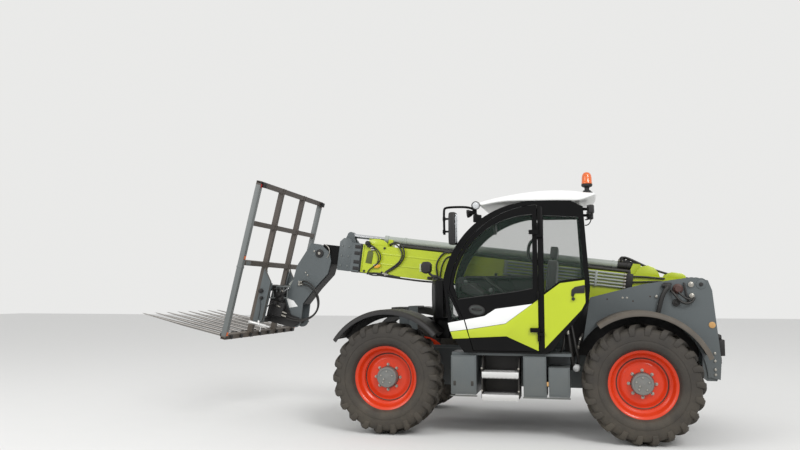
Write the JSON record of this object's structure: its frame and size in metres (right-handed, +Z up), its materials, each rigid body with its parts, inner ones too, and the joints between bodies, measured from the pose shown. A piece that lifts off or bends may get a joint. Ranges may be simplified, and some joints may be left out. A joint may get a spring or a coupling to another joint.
{
  "type": "telehandler",
  "caption": "Four-wheel-steer telescopic handler: side cab, three-section boom pivoted at the rear, and a bale frame with spikes on a tilting carriage.",
  "frame": {"origin": "on the ground under the middle of the whole machine, spikes and tow hitch included", "axes": "+X forward along the boom, +Y to the cab side, +Z up"},
  "size_m": [6.7363, 2.4, 2.8497],
  "materials": {
    "lime_paint": "semi-gloss paint",
    "dark_grey_paint": "satin paint",
    "white_paint": "gloss paint",
    "cab_black": "satin paint",
    "black_plastic": "grained",
    "rim_orange": "semi-gloss paint",
    "tyre": "rubber",
    "hub_grey": "painted casting",
    "cast_black": "painted casting",
    "glass": "tinted",
    "step_aluminium": "brushed",
    "cylinder_grey": "paint",
    "rod_chrome": "polished",
    "spike_steel": "worn",
    "seat_fabric": "woven",
    "lamp_lens": "clear",
    "lamp_red": "clear",
    "amber": "clear",
    "engine_metal": "raw"
  },
  "bodies": {
    "chassis": {"main_frame": "dark_grey_paint", "rear_frame": "dark_grey_paint", "counterweight": "dark_grey_paint", "tow_hitch": "cast_black", "rear_lamps": "lamp_red", "front_axle": "cast_black", "rear_axle": "cast_black", "front_fenders": "black_plastic", "rear_fenders": "black_plastic", "engine_block": "engine_metal", "fuel_tank": "cab_black", "side_boxes": "dark_grey_paint", "step_ladder": "step_aluminium", "cab_frame": "cab_black", "cab_tub": "black_plastic", "cab_side_panel": "lime_paint", "cab_glass": "glass", "cab_roof": "white_paint", "seat": "seat_fabric", "steering_column": "black_plastic", "dash_console": "black_plastic", "work_lamps": "lamp_lens", "beacon": "amber", "mirror": "black_plastic"},
    "boom": {"boom_base": "lime_paint", "telescope_barrel": "cylinder_grey"},
    "boom_mid": {"boom_mid": "dark_grey_paint", "telescope_rod": "rod_chrome"},
    "boom_inner": {"boom_inner": "cab_black", "boom_head": "dark_grey_paint"},
    "carriage": {"carriage": "dark_grey_paint", "bale_frame": "dark_grey_paint", "bale_tines": "spike_steel"},
    "lift_barrel": {"lift_barrel": "cylinder_grey"},
    "lift_rod": {"lift_rod": "rod_chrome"},
    "tilt_barrel": {"tilt_barrel": "cylinder_grey"},
    "tilt_rod": {"tilt_rod": "rod_chrome"},
    "cab_door": {"cab_door": "lime_paint", "door_glass": "glass"},
    "engine_hood": {"engine_hood": "cab_black"},
    "knuckle_front_left": {"knuckle_front_left": "cast_black"},
    "wheel_front_left": {"tyre_front_left": "tyre", "rim_front_left": "rim_orange", "hub_front_left": "hub_grey"},
    "knuckle_front_right": {"knuckle_front_right": "cast_black"},
    "wheel_front_right": {"tyre_front_right": "tyre", "rim_front_right": "rim_orange", "hub_front_right": "hub_grey"},
    "knuckle_rear_left": {"knuckle_rear_left": "cast_black"},
    "wheel_rear_left": {"tyre_rear_left": "tyre", "rim_rear_left": "rim_orange", "hub_rear_left": "hub_grey"},
    "knuckle_rear_right": {"knuckle_rear_right": "cast_black"},
    "wheel_rear_right": {"tyre_rear_right": "tyre", "rim_rear_right": "rim_orange", "hub_rear_right": "hub_grey"}
  },
  "joints": [
    {"name": "boom_lift", "type": "hinge", "parent": "chassis", "child": "boom", "pos_m": [-3.105, 0, 1.62], "axis": [0, -1, 0], "range_deg": [-7, 56]},
    {"name": "telescope_mid", "type": "slide", "parent": "boom", "child": "boom_mid", "axis": [0.9925, 0, 0.1219], "range_m": [0, 1.3]},
    {"name": "telescope_inner", "type": "slide", "parent": "boom_mid", "child": "boom_inner", "axis": [0.9925, 0, 0.1219], "range_m": [0, 1.3]},
    {"name": "carriage_tilt", "type": "hinge", "parent": "boom_inner", "child": "carriage", "pos_m": [1.69467, 0, 1.16958], "axis": [0, 1, 0], "range_deg": [-12, 50]},
    {"name": "lift_barrel_swing", "type": "hinge", "parent": "chassis", "child": "lift_barrel", "pos_m": [-2.955, 0, 0.85], "axis": [0, -1, 0], "range_deg": [-5.47, 40.23]},
    {"name": "lift_rod_slide", "type": "slide", "parent": "lift_barrel", "child": "lift_rod", "axis": [0.8902, 0, 0.4557], "range_m": [-0.0855, 0.649]},
    {"name": "tilt_barrel_swing", "type": "hinge", "parent": "boom_inner", "child": "tilt_barrel", "pos_m": [1.36537, 0, 2.02986], "axis": [0, 1, 0], "range_deg": [-1.14, 3.15]},
    {"name": "tilt_rod_slide", "type": "slide", "parent": "tilt_barrel", "child": "tilt_rod", "axis": [0.7197, 0, -0.6943], "range_m": [-0.08559, 0.3408]},
    {"name": "steer_front_left", "type": "hinge", "parent": "chassis", "child": "knuckle_front_left", "pos_m": [0.237, 0.87, 0.605], "axis": [0, 0, 1], "range_deg": [-33, 33]},
    {"name": "wheel_front_left_spin", "type": "hinge", "parent": "knuckle_front_left", "child": "wheel_front_left", "pos_m": [0.237, 0.97, 0.605], "axis": [0, 1, 0], "continuous": true},
    {"name": "steer_front_right", "type": "hinge", "parent": "chassis", "child": "knuckle_front_right", "pos_m": [0.237, -0.87, 0.605], "axis": [0, 0, 1], "range_deg": [-33, 33]},
    {"name": "wheel_front_right_spin", "type": "hinge", "parent": "knuckle_front_right", "child": "wheel_front_right", "pos_m": [0.237, -0.97, 0.605], "axis": [0, 1, 0], "continuous": true},
    {"name": "steer_rear_left", "type": "hinge", "parent": "chassis", "child": "knuckle_rear_left", "pos_m": [-2.447, 0.87, 0.605], "axis": [0, 0, 1], "range_deg": [-33, 33]},
    {"name": "wheel_rear_left_spin", "type": "hinge", "parent": "knuckle_rear_left", "child": "wheel_rear_left", "pos_m": [-2.447, 0.97, 0.605], "axis": [0, 1, 0], "continuous": true},
    {"name": "steer_rear_right", "type": "hinge", "parent": "chassis", "child": "knuckle_rear_right", "pos_m": [-2.447, -0.87, 0.605], "axis": [0, 0, 1], "range_deg": [-33, 33]},
    {"name": "wheel_rear_right_spin", "type": "hinge", "parent": "knuckle_rear_right", "child": "wheel_rear_right", "pos_m": [-2.447, -0.97, 0.605], "axis": [0, 1, 0], "continuous": true},
    {"name": "cab_door", "type": "hinge", "parent": "chassis", "child": "cab_door", "pos_m": [-1.417, 1.069, 1.5], "axis": [0, 0, 1], "range_deg": [0, 80]},
    {"name": "engine_hood", "type": "hinge", "parent": "chassis", "child": "engine_hood", "pos_m": [-1.105, -0.263, 1.358], "axis": [-1, 0, 0], "range_deg": [0, 60]}
  ],
  "couplings": [
    {"joint": "telescope_inner", "follows": "telescope_mid", "ratio": 1},
    {"joint": "lift_barrel_swing", "follows": "boom_lift", "ratio": 0.7095},
    {"joint": "lift_rod_slide", "follows": "boom_lift", "m_per_rad": 0.6589},
    {"joint": "tilt_barrel_swing", "follows": "carriage_tilt", "ratio": 0.053},
    {"joint": "tilt_rod_slide", "follows": "carriage_tilt", "m_per_rad": 0.3848},
    {"joint": "steer_front_right", "follows": "steer_front_left", "ratio": 1},
    {"joint": "steer_rear_right", "follows": "steer_rear_left", "ratio": 1}
  ]
}
